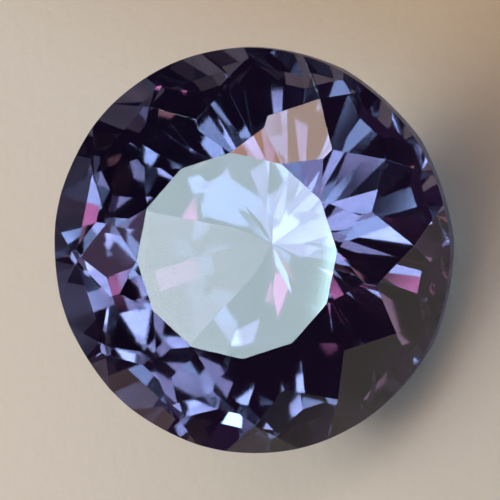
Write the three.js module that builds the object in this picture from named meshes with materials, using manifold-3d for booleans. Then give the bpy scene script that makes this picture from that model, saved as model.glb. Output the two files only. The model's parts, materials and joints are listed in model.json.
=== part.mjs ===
// A round, twelve-fold brilliant-cut alexandrite, lying loose on one facet of its pavilion.
//
// A cut stone is a round blank with flat facets ground off it, and it is built the same way here:
// the blank is trimmed by one plane for each facet. The stone is first cut upright, with its axis
// on Z, the table up and the upper edge of the girdle at z = 0. It is then laid down.
// Lengths are millimetres and angles are degrees.

import * as THREE from 'three';
import { mergeVertices } from 'three/addons/utils/BufferGeometryUtils.js';
import Module from 'manifold-3d';

const wasm = await Module();
wasm.setup();

// Driving dimensions
const GIRDLE_DIAMETER = 10;
const GIRDLE_THICKNESS = 0.4;
const GIRDLE_SIDES = 144;
const FOLD = 12;

// Crown: the kite row carries the table, and the other rows meet at its corners
const KITE_SLOPE = 24.8;
const TABLE_CORNER = 0.503;
const STAR_TIP = 0.636;
const KITE_SHOULDER = 0.692;
const KITE_TIP = 0.85;
const OUTER_HALF_WIDTH = 4.3;

// Pavilion, from the culet outwards: each row takes over from the last one at a share of the
// girdle radius, measured along its own azimuth. The girdle row is the last.
const PAVILION_ROWS = [
  { slope: 40.1, turn: 15, count: 12, from: 0 },
  { slope: 40.9, turn: 0, count: 12, from: 0.176 },
  { slope: 47.8, turn: 15, count: 12, from: 0.604 },
  { slope: 53.3, turn: 15, count: 12, from: 0.757 },
];

// The row on whose facet at azimuth `turn` the stone lies
const REST_ROW = 1;

// Finish
const BODY_COLOUR = 0x3a2748;
const BODY_ROUGHNESS = 0.05;

const RADIUS = GIRDLE_DIAMETER / 2;
const STEP = 360 / FOLD;
const radians = THREE.MathUtils.degToRad;
const tan = (degrees) => Math.tan(radians(degrees));
const cos = (degrees) => Math.cos(radians(degrees));
const slopeOf = (drop, run) => THREE.MathUtils.radToDeg(Math.atan(drop / run));

// One flat facet: it faces `azimuth`, its normal is tipped `slope` away from the axis, and its
// plane holds the point at distance `reach` from the axis, along that azimuth, at `height`.
function facet(side, slope, azimuth, reach, height) {
  const normal = new THREE.Vector3(
    Math.sin(radians(slope)) * cos(azimuth),
    Math.sin(radians(slope)) * Math.sin(radians(azimuth)),
    side === 'crown' ? cos(slope) : -cos(slope),
  );
  const point = new THREE.Vector3(reach * cos(azimuth), reach * Math.sin(radians(azimuth)), height);
  return { normal, offset: normal.dot(point) };
}

// The same facet repeated round the axis, starting `turn` from azimuth 0
function row(side, slope, turn, count, reach, height) {
  const facets = [];
  for (let i = 0; i < count; i += 1) {
    facets.push(facet(side, slope, turn + (i * 360) / count, reach, height));
  }
  return facets;
}

function crownFacets() {
  const tableCorner = TABLE_CORNER * RADIUS;
  const starTip = STAR_TIP * RADIUS;
  const shoulder = KITE_SHOULDER * RADIUS;
  const tip = KITE_TIP * RADIUS;
  const halfStep = STEP / 2;

  // Drops below the table, all on the kite facets
  const starDrop = (starTip * cos(halfStep) - tableCorner) * tan(KITE_SLOPE);
  const shoulderDrop = (shoulder * cos(halfStep) - tableCorner) * tan(KITE_SLOPE);
  const tipDrop = (tip - tableCorner) * tan(KITE_SLOPE);

  const tableEdge = tableCorner * cos(halfStep);
  const starSlope = slopeOf(starDrop, starTip - tableEdge);
  const outerSlope = slopeOf(tipDrop - shoulderDrop, tip * cos(halfStep) - shoulder);
  const outerDrop = (RADIUS * cos(OUTER_HALF_WIDTH) - shoulder) * tan(outerSlope);
  const tableHeight = shoulderDrop + outerDrop;
  const breakSlope = slopeOf(tableHeight - tipDrop, RADIUS * cos(halfStep - OUTER_HALF_WIDTH) - tip);

  return [
    facet('crown', 0, 0, 0, tableHeight),
    ...row('crown', starSlope, halfStep, FOLD, tableEdge, tableHeight),
    ...row('crown', KITE_SLOPE, 0, FOLD, tableCorner, tableHeight),
    ...row('crown', outerSlope, halfStep, FOLD, shoulder, tableHeight - shoulderDrop),
    ...row('crown', breakSlope, 0, FOLD, tip, tableHeight - tipDrop),
  ];
}

// Height at which each pavilion row's plane crosses the axis, above the culet
function pavilionCrossings() {
  const crossings = [0];
  for (let i = 1; i < PAVILION_ROWS.length; i += 1) {
    const below = PAVILION_ROWS[i - 1];
    const here = PAVILION_ROWS[i];
    const step = 360 / below.count;
    const apart = Math.abs(here.turn - below.turn) % step;
    const turn = Math.min(apart, step - apart);
    const reach = here.from * RADIUS;
    const meetHeight = crossings[i - 1] + reach * cos(turn) * tan(below.slope);
    crossings.push(meetHeight - reach * tan(here.slope));
  }
  return crossings;
}

function pavilionRows() {
  const crossings = pavilionCrossings();
  const last = PAVILION_ROWS.length - 1;
  const depth = crossings[last] + RADIUS * tan(PAVILION_ROWS[last].slope);
  const culetHeight = -GIRDLE_THICKNESS - depth;
  return PAVILION_ROWS.map(({ slope, turn, count }, i) => (
    row('pavilion', slope, turn, count, 0, culetHeight + crossings[i])
  ));
}

// The round blank, upright and long enough for every facet to cut it
function roundBlank() {
  const blank = new THREE.CylinderGeometry(RADIUS, RADIUS, 4 * RADIUS, GIRDLE_SIDES);
  blank.rotateX(Math.PI / 2);
  blank.deleteAttribute('normal');
  blank.deleteAttribute('uv');
  const { attributes, index } = mergeVertices(blank);
  return new wasm.Manifold(new wasm.Mesh({
    numProp: 3,
    vertProperties: new Float32Array(attributes.position.array),
    triVerts: new Uint32Array(index.array),
  }));
}

// The blank, with each facet ground off in turn
function cutStone(facets) {
  return facets.reduce(
    (stone, { normal, offset }) => stone.trimByPlane(normal.clone().negate().toArray(), -offset),
    roundBlank(),
  );
}

function toGeometry(solid) {
  const { vertProperties, triVerts, numProp } = solid.getMesh();
  const corners = [];
  for (const vertex of triVerts) {
    const start = vertex * numProp;
    corners.push(...vertProperties.slice(start, start + 3));
  }
  const geometry = new THREE.BufferGeometry();
  geometry.setAttribute('position', new THREE.Float32BufferAttribute(corners, 3));
  geometry.computeVertexNormals();
  return geometry;
}

// Turns the stone until its rest facet faces straight down and its table leans towards -Y, and
// sets that facet on z = 0 with the stone's bounding box centred on the Z axis.
function layDown(mesh, rest) {
  const down = new THREE.Vector3(0, 0, -1);
  const settle = new THREE.Quaternion().setFromUnitVectors(rest.normal, down);
  const tableNormal = new THREE.Vector3(0, 0, 1).applyQuaternion(settle);
  const heading = Math.atan2(tableNormal.y, tableNormal.x);
  const turn = new THREE.Quaternion().setFromAxisAngle(down, heading + Math.PI / 2);
  mesh.quaternion.copy(turn.multiply(settle));
  mesh.updateMatrixWorld(true);
  const box = new THREE.Box3().setFromObject(mesh, true);
  const middle = box.getCenter(new THREE.Vector3());
  mesh.position.set(-middle.x, -middle.y, rest.offset);
}

const pavilion = pavilionRows();
const stone = new THREE.Mesh(
  toGeometry(cutStone([...crownFacets(), ...pavilion.flat()])),
  new THREE.MeshStandardMaterial({
    color: BODY_COLOUR,
    roughness: BODY_ROUGHNESS,
    metalness: 0,
  }),
);
stone.name = 'cut_stone';
layDown(stone, pavilion[REST_ROW][0]);

const part = new THREE.Group();
part.add(stone);

export default part;
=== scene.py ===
"""A loose, round-cut alexandrite lying on a pale surface, seen almost straight onto its table.

Lengths are metres and angles are degrees. The stone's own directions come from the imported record:
its axis is the table mount's axis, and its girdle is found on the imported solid.
"""

import json
import math

import bmesh
import bpy
from mathutils import Matrix, Vector


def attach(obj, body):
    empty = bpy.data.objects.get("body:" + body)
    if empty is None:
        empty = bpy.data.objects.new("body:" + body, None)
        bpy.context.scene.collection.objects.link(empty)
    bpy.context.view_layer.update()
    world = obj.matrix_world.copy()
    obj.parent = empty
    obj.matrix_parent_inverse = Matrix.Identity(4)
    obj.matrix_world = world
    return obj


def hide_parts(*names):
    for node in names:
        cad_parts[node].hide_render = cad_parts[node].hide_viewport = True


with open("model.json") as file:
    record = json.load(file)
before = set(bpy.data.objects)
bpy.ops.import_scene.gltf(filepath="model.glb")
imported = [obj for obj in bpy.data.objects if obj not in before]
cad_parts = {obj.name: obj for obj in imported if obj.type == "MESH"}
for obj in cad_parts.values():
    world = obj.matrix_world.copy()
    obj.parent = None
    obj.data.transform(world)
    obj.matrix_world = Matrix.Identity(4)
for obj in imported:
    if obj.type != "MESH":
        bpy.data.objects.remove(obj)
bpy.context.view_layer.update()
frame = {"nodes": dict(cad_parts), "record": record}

NODE = "cut_stone"
MILLIMETRE = 0.001

# How the photograph looks at the stone: the lean of the line of sight away from the stone's axis,
# the turn of that lean from the table's low side, and the turn of the picture's up direction from
# the same side. Both turns run round the axis, anticlockwise as the viewer sees it.
VIEW_LEAN = 14.4
VIEW_TURN = 45.8
PICTURE_UP_TURN = 116.4
VIEW_DISTANCE = 125 * MILLIMETRE
SENSOR_WIDTH = 36.0

# The camera draws from this many times nearer than the stone to this many times farther
CLIP_TIMES = 100

# Where the middle of the girdle falls in the 500 x 500 picture, and the girdle's radius there
PICTURE_SIDE = 500
GIRDLE_PIXEL_X = 249.8
GIRDLE_PIXEL_Y = 251.3
GIRDLE_PIXEL_RADIUS = 203.5

# Girdle: its corners lie beyond this share of the stone's largest radius, and its faces look
# farther than this from the axis. It is marked on the mesh, to be frosted.
GIRDLE_REACH = 0.999
GIRDLE_FACE_LEAN = 88.0
GIRDLE_MARK = "frosted"

# Facets: corners this close are one corner, neighbouring faces within this angle are one facet,
# and the edges between facets are worn blunt by this much
SAME_CORNER = 0.0001 * MILLIMETRE
SAME_FACET_ANGLE = 0.4
EDGE_WEAR = 0.012 * MILLIMETRE

# The crystal: its absorption is per metre, and it spares the blue most and the green least
CHRYSOBERYL_IOR = 1.746
BODY_TINT = (0.12, 0.06, 0.26)
ABSORPTION_DENSITY = 262.0

# Finishes: the roughness varies in spots, and the surface rises and falls in waves by the relief.
# Spots and waves each give how finely they are spread, per metre, and the detail within them.
POLISHED = dict(spots=(900, 2), roughness=(0.028, 0.052),
                waves=(700, 2), relief=0.00002 * MILLIMETRE)
FROSTED = dict(spots=(9000, 4), roughness=(0.40, 0.62),
               waves=(12000, 5), relief=0.03 * MILLIMETRE)
FLOOR_FINISH = dict(spots=(400, 2), roughness=(0.70, 0.85),
                    waves=(2500, 3), relief=0.03 * MILLIMETRE)

# Studio: each light is placed by its angle from the line of sight, to the right and up in the
# picture, and sized by its half width and half height in degrees as the stone sees it. Its
# radiance is the brightness of its mirror image, 1 being white, and a lamp of radiance 1 needs
# the watts below for each square metre.
LIGHT_DISTANCE = 90 * MILLIMETRE
WATTS_PER_RADIANCE = 4.0
COOL = (0.56, 0.98, 1.0)
PALE = (0.71, 0.91, 1.0)
PINK = (1.0, 0.40, 0.52)
VIOLET = (0.85, 0.52, 1.0)
BEIGE = (1.0, 0.74, 0.62)
AMBER = (1.0, 0.56, 0.40)
LIGHTS = {
    "big_panel": dict(right=-27.5, up=-25, half=(20, 18.7), roll=0, radiance=5.4, colour=PALE),
    "beige_strip": dict(right=-5, up=37, half=(8.5, 3.6), roll=28, radiance=3.6, colour=BEIGE),
    "amber_strip": dict(right=-22, up=28, half=(8.5, 3.6), roll=28, radiance=3.8, colour=AMBER),
    "front_strip": dict(right=2.5, up=-14.5, half=(16, 2.6), roll=69, radiance=6.5, colour=COOL),
    "middle_strip": dict(right=-16.5, up=-4, half=(2.2, 12), roll=60, radiance=11, colour=COOL),
    "middle_lamp": dict(right=-18.5, up=-11, half=(6.4, 4), roll=-8, radiance=6, colour=COOL),
    "low_strip": dict(right=-19, up=-34.5, half=(4.3, 17), roll=83, radiance=13, colour=COOL),
    "left_lamp": dict(right=-35, up=4, half=(2.5, 15), roll=128, radiance=8, colour=COOL),
    "side_spot": dict(right=-34.5, up=-18.5, half=(6.5, 1.8), roll=77, radiance=11, colour=COOL),
    "left_panel": dict(right=-44, up=6.5, half=(18.5, 8), roll=5, radiance=4.8, colour=COOL),
    "left_window": dict(right=-66, up=-3, half=(13, 11), roll=-19, radiance=0.5, colour=VIOLET),
    "far_window": dict(right=-54, up=45, half=(4, 16), roll=60, radiance=4.8, colour=COOL),
    "high_strip": dict(right=8, up=50.5, half=(1.8, 13), roll=9, radiance=14, colour=COOL),
    "pink_lamp": dict(right=-57, up=-17, half=(3, 3), roll=0, radiance=9, colour=PINK),
    "rose_lamp": dict(right=-42, up=-15, half=(4, 4), roll=0, radiance=14, colour=PINK),
    "rose_strip": dict(right=-13, up=16, half=(5, 1.5), roll=120, radiance=10, colour=PINK),
}

# Two wide lamps for the floor alone, so that its shading can be set apart from the stone's flashes
FLOOR_LIGHTS = {
    "floor_key": dict(right=-95, up=-2, half=(21, 21), roll=0, radiance=2.7,
                      colour=(1.0, 0.98, 0.92)),
    "floor_fill": dict(right=-30, up=10, half=(35, 35), roll=0, radiance=0.65,
                       colour=(1.0, 0.90, 0.82)),
}

# The dim room round them, overhead and at the horizon
ROOM_HIGH = (0.022, 0.014, 0.046)
ROOM_LOW = (0.070, 0.034, 0.095)

# Floor: its colour varies softly between two pale ones. The clouds give how finely they are
# spread, per metre, and the detail within them.
FLOOR_SIDE = 1.6
FLOOR_GAP = 0.02 * MILLIMETRE
FLOOR_CLOUDS = (60, 2)
FLOOR_PALE = (0.80, 0.76, 0.66)
FLOOR_DEEP = (0.74, 0.69, 0.58)
# The darker brown of the painted shade, laid on the floor's colour towards the picture's top and
# right
FLOOR_PAINTED_SHADE = (0.66, 0.51, 0.34)

# Painted shade: the floor's colour darkens to brown between these distances from the stone, towards
# the picture's top and right
PAINTED_SHADE_FROM = 1 * MILLIMETRE
PAINTED_SHADE_TO = 8 * MILLIMETRE

# Light crosses a cut stone many times before it comes out
STONE_BOUNCES = 24
MIRROR_BOUNCES = 20
FLOOR_BOUNCES = 3

# A mix node's sockets for each kind of value: the first input, the second input and the result
MIX_SOCKETS = {"FLOAT": (2, 3, 0), "RGBA": (6, 7, 2)}


def mount(name):
    return next(m for m in frame["record"]["mounts"] if m["name"] == name)


def stone_directions():
    """The stone's axis, its low side in the girdle's plane, and the side a quarter turn on."""
    axis = Vector(mount("table")["axis"]).normalized()
    down = Vector((0, 0, -1))
    low = (down - axis * down.dot(axis)).normalized()
    return axis, low, axis.cross(low)


def girdle_centre(axis):
    """The middle of the girdle's upper edge, on the stone's axis, and the girdle's radius."""
    on_axis = Vector(mount("table")["pos_m"])
    places = [v.co - on_axis for v in frame["nodes"][NODE].data.vertices]
    radii = [(p - axis * p.dot(axis)).length for p in places]
    rim = max(radii)
    height = max(p.dot(axis) for p, r in zip(places, radii) if r > GIRDLE_REACH * rim)
    return on_axis + axis * height, rim


AXIS, LOW_SIDE, QUARTER_SIDE = stone_directions()
GIRDLE_CENTRE, GIRDLE_RADIUS = girdle_centre(AXIS)


def around(turn):
    """The direction in the girdle's plane at `turn` from the low side."""
    angle = math.radians(turn)
    return LOW_SIDE * math.cos(angle) + QUARTER_SIDE * math.sin(angle)


def picture_directions():
    """The picture's right and up, and the direction from the stone to the camera."""
    lean = math.radians(VIEW_LEAN)
    back = AXIS * math.cos(lean) + around(VIEW_TURN) * math.sin(lean)
    up = around(PICTURE_UP_TURN)
    up = (up - back * up.dot(back)).normalized()
    return up.cross(back), up, back


PICTURE_RIGHT, PICTURE_UP, PICTURE_BACK = picture_directions()


def seen_at(right, up):
    """The direction at those angles, to the right and up, from the line of sight."""
    away = math.radians(math.hypot(right, up))
    heading = math.atan2(up, right)
    across = PICTURE_RIGHT * math.cos(heading) + PICTURE_UP * math.sin(heading)
    return PICTURE_BACK * math.cos(away) + across * math.sin(away)


def facing(x, z):
    """A rotation whose local Z is z, and whose local X is as near to x as it can be."""
    x = (x - z * x.dot(z)).normalized()
    return Matrix((x, z.cross(x), z)).transposed().to_4x4()


def link(name, data):
    thing = bpy.data.objects.new(name, data)
    bpy.context.scene.collection.objects.link(thing)
    return thing


def group_of(name, thing):
    group = bpy.data.collections.new(name)
    group.objects.link(thing)
    return group


def make_camera():
    """The photograph's line of sight, with the girdle at its place and size in the picture."""
    data = bpy.data.cameras.new("camera")
    data.sensor_width = SENSOR_WIDTH
    reach = GIRDLE_PIXEL_RADIUS / (PICTURE_SIDE / 2)
    data.lens = SENSOR_WIDTH / 2 * reach * VIEW_DISTANCE / GIRDLE_RADIUS
    data.shift_x = 0.5 - GIRDLE_PIXEL_X / PICTURE_SIDE
    data.shift_y = GIRDLE_PIXEL_Y / PICTURE_SIDE - 0.5
    data.clip_start = VIEW_DISTANCE / CLIP_TIMES
    data.clip_end = VIEW_DISTANCE * CLIP_TIMES
    camera = link("camera", data)
    place = GIRDLE_CENTRE + PICTURE_BACK * VIEW_DISTANCE
    camera.matrix_world = Matrix.Translation(place) @ facing(PICTURE_RIGHT, PICTURE_BACK)
    bpy.context.scene.camera = camera


def make_light(name, lit, right, up, half, roll, radiance, colour):
    """A plain rectangular light of that radiance, facing the stone and shining on `lit` alone."""
    data = bpy.data.lights.new(name, "AREA")
    data.shape = "RECTANGLE"
    data.size = 2 * LIGHT_DISTANCE * math.tan(math.radians(half[0]))
    data.size_y = 2 * LIGHT_DISTANCE * math.tan(math.radians(half[1]))
    data.energy = WATTS_PER_RADIANCE * radiance * data.size * data.size_y
    data.color = colour
    lamp = link(name, data)
    lamp.visible_camera = False
    towards = seen_at(right, up)
    step = (math.cos(math.radians(roll)), math.sin(math.radians(roll)))
    along = seen_at(right + step[0], up + step[1]) - towards
    place = GIRDLE_CENTRE + towards * LIGHT_DISTANCE
    lamp.matrix_world = Matrix.Translation(place) @ facing(along, towards)
    lamp.light_linking.receiver_collection = lit


def make_room():
    """A dim room, a little lighter and redder near the horizon than overhead."""
    world = bpy.data.worlds.new("room")
    world.use_nodes = True
    nodes = world.node_tree.nodes
    links = world.node_tree.links
    height = nodes.new("ShaderNodeSeparateXYZ")
    links.new(nodes.new("ShaderNodeTexCoord").outputs["Generated"], height.inputs["Vector"])
    ramp = nodes.new("ShaderNodeValToRGB")
    ramp.color_ramp.elements[0].color = (*ROOM_LOW, 1)
    ramp.color_ramp.elements[1].color = (*ROOM_HIGH, 1)
    links.new(height.outputs["Z"], ramp.inputs["Fac"])
    links.new(ramp.outputs["Color"], nodes["Background"].inputs["Color"])
    bpy.context.scene.world = world


def new_material(name):
    material = bpy.data.materials.new(name)
    material.use_nodes = True
    nodes = material.node_tree.nodes
    return material, nodes, material.node_tree.links, nodes["Principled BSDF"]


def noise(nodes, links, place, scale, detail):
    node = nodes.new("ShaderNodeTexNoise")
    node.inputs["Scale"].default_value = scale
    node.inputs["Detail"].default_value = detail
    links.new(place, node.inputs["Vector"])
    return node.outputs["Fac"]


def ranged(nodes, links, value, low, high):
    """The value 0..1 carried to low..high."""
    node = nodes.new("ShaderNodeMapRange")
    node.inputs["To Min"].default_value = low
    node.inputs["To Max"].default_value = high
    links.new(value, node.inputs["Value"])
    return node.outputs["Result"]


def eased(nodes, links, value, start, end):
    """0 up to the start, 1 from the end, and a smooth curve between them."""
    node = nodes.new("ShaderNodeMapRange")
    node.interpolation_type = "SMOOTHSTEP"
    node.inputs["From Min"].default_value = start
    node.inputs["From Max"].default_value = end
    links.new(value, node.inputs["Value"])
    return node.outputs["Result"]


def mixed(nodes, links, share, a, b, kind="FLOAT"):
    """a where the share is 0, and b where it is 1."""
    first, second, result = MIX_SOCKETS[kind]
    node = nodes.new("ShaderNodeMix")
    node.data_type = kind
    links.new(share, node.inputs[0])
    links.new(a, node.inputs[first])
    links.new(b, node.inputs[second])
    return node.outputs[result]


def unevenness(nodes, links, place, finish):
    """The roughness and the surface height that the finish has at each place."""
    spots = noise(nodes, links, place, *finish["spots"])
    waves = noise(nodes, links, place, *finish["waves"])
    rough = ranged(nodes, links, spots, *finish["roughness"])
    height = ranged(nodes, links, waves, 0.0, finish["relief"])
    return rough, height


def give_finish(nodes, links, shader, rough, height):
    """Gives the shader that roughness, and bumps of that height in metres."""
    bump = nodes.new("ShaderNodeBump")
    bump.inputs["Distance"].default_value = 1.0
    links.new(height, bump.inputs["Height"])
    links.new(bump.outputs["Normal"], shader.inputs["Normal"])
    links.new(rough, shader.inputs["Roughness"])


def make_stone_material():
    """Clear, absorbing chrysoberyl: polished on the facets, ground and frosted on the girdle."""
    material, nodes, links, shader = new_material("alexandrite")
    place = nodes.new("ShaderNodeTexCoord").outputs["Object"]
    girdle = nodes.new("ShaderNodeAttribute")
    girdle.attribute_name = GIRDLE_MARK
    share = girdle.outputs["Fac"]
    polish, ripple = unevenness(nodes, links, place, POLISHED)
    ground, grain = unevenness(nodes, links, place, FROSTED)
    rough = mixed(nodes, links, share, polish, ground)
    height = mixed(nodes, links, share, ripple, grain)
    give_finish(nodes, links, shader, rough, height)

    shader.inputs["Base Color"].default_value = (1, 1, 1, 1)
    shader.inputs["IOR"].default_value = CHRYSOBERYL_IOR
    shader.inputs["Transmission Weight"].default_value = 1.0

    volume = nodes.new("ShaderNodeVolumeAbsorption")
    volume.inputs["Color"].default_value = (*BODY_TINT, 1)
    volume.inputs["Density"].default_value = ABSORPTION_DENSITY
    links.new(volume.outputs["Volume"], nodes["Material Output"].inputs["Volume"])
    return material


def join_facets(shape):
    """Makes each facet one flat face."""
    bmesh.ops.remove_doubles(shape, verts=shape.verts, dist=SAME_CORNER)
    bmesh.ops.dissolve_limit(
        shape, angle_limit=math.radians(SAME_FACET_ANGLE), verts=shape.verts, edges=shape.edges,
    )
    for face in shape.faces:
        face.smooth = False
        face.normal_update()


def mark_girdle(shape):
    """Marks the faces of the girdle, and gives back the mark."""
    steep = math.cos(math.radians(GIRDLE_FACE_LEAN))
    mark = shape.faces.layers.float.new(GIRDLE_MARK)
    for face in shape.faces:
        face[mark] = float(abs(face.normal.dot(AXIS)) < steep)
    return mark


def wear_edges(shape, mark):
    """Blunts every edge of the polished facets, and none between two faces of the girdle."""
    facet_edges = [e for e in shape.edges if not all(f[mark] for f in e.link_faces)]
    bmesh.ops.bevel(
        shape, geom=facet_edges, offset=EDGE_WEAR, offset_type="OFFSET", segments=1,
        affect="EDGES", clamp_overlap=True,
    )


def make_stone():
    """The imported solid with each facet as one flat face, its edges blunted a little by wear."""
    mesh = frame["nodes"][NODE].data.copy()
    mesh.name = "alexandrite"
    shape = bmesh.new()
    shape.from_mesh(mesh)
    join_facets(shape)
    wear_edges(shape, mark_girdle(shape))
    shape.to_mesh(mesh)
    shape.free()
    mesh.materials.clear()
    mesh.materials.append(make_stone_material())
    stone = link("alexandrite", mesh)
    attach(stone, "root")
    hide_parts(NODE)
    return stone


def with_painted_shade(nodes, links, place, colour):
    """The colour, darkened to brown towards the picture's top and, half as fast, its right: a
    painted shade.
    """
    along = nodes.new("ShaderNodeVectorMath")
    along.operation = "DOT_PRODUCT"
    along.inputs[1].default_value = (PICTURE_UP * 2 + PICTURE_RIGHT).normalized()
    links.new(place, along.inputs[0])
    share = eased(nodes, links, along.outputs["Value"], PAINTED_SHADE_FROM, PAINTED_SHADE_TO)
    # The brown of the painted shade
    painted_shade_colour = nodes.new("ShaderNodeRGB").outputs["Color"]
    painted_shade_colour.default_value = (*FLOOR_PAINTED_SHADE, 1)
    return mixed(nodes, links, share, colour, painted_shade_colour, "RGBA")


def make_floor_material():
    """A pale, warm surface: soft clouds of colour, a painted brown shade on one side, and a fine
    tooth.
    """
    material, nodes, links, shader = new_material("pale_paper")
    place = nodes.new("ShaderNodeTexCoord").outputs["Object"]
    ramp = nodes.new("ShaderNodeValToRGB")
    ramp.color_ramp.elements[0].color = (*FLOOR_DEEP, 1)
    ramp.color_ramp.elements[1].color = (*FLOOR_PALE, 1)
    links.new(noise(nodes, links, place, *FLOOR_CLOUDS), ramp.inputs["Fac"])
    # Painted shade: the colour darkens to brown towards the picture's top and right
    colour = with_painted_shade(nodes, links, place, ramp.outputs["Color"])
    links.new(colour, shader.inputs["Base Color"])
    give_finish(nodes, links, shader, *unevenness(nodes, links, place, FLOOR_FINISH))
    return material


def make_floor():
    shape = bmesh.new()
    bmesh.ops.create_grid(shape, x_segments=1, y_segments=1, size=FLOOR_SIDE / 2)
    mesh = bpy.data.meshes.new("floor")
    shape.to_mesh(mesh)
    shape.free()
    mesh.materials.append(make_floor_material())
    floor = link("floor", mesh)
    floor.location.z = -FLOOR_GAP
    return floor


def set_light_paths():
    """Enough bounces for light to cross a cut stone many times, and plain colours."""
    scene = bpy.context.scene
    scene.cycles.max_bounces = STONE_BOUNCES
    scene.cycles.transmission_bounces = STONE_BOUNCES
    scene.cycles.glossy_bounces = MIRROR_BOUNCES
    scene.cycles.diffuse_bounces = FLOOR_BOUNCES
    scene.view_settings.view_transform = "Standard"


make_camera()
make_room()
stone_alone = group_of("stone_alone", make_stone())
floor_alone = group_of("floor_alone", make_floor())
for light_name, values in LIGHTS.items():
    make_light(light_name, stone_alone, **values)
for light_name, values in FLOOR_LIGHTS.items():
    make_light(light_name, floor_alone, **values)
set_light_paths()
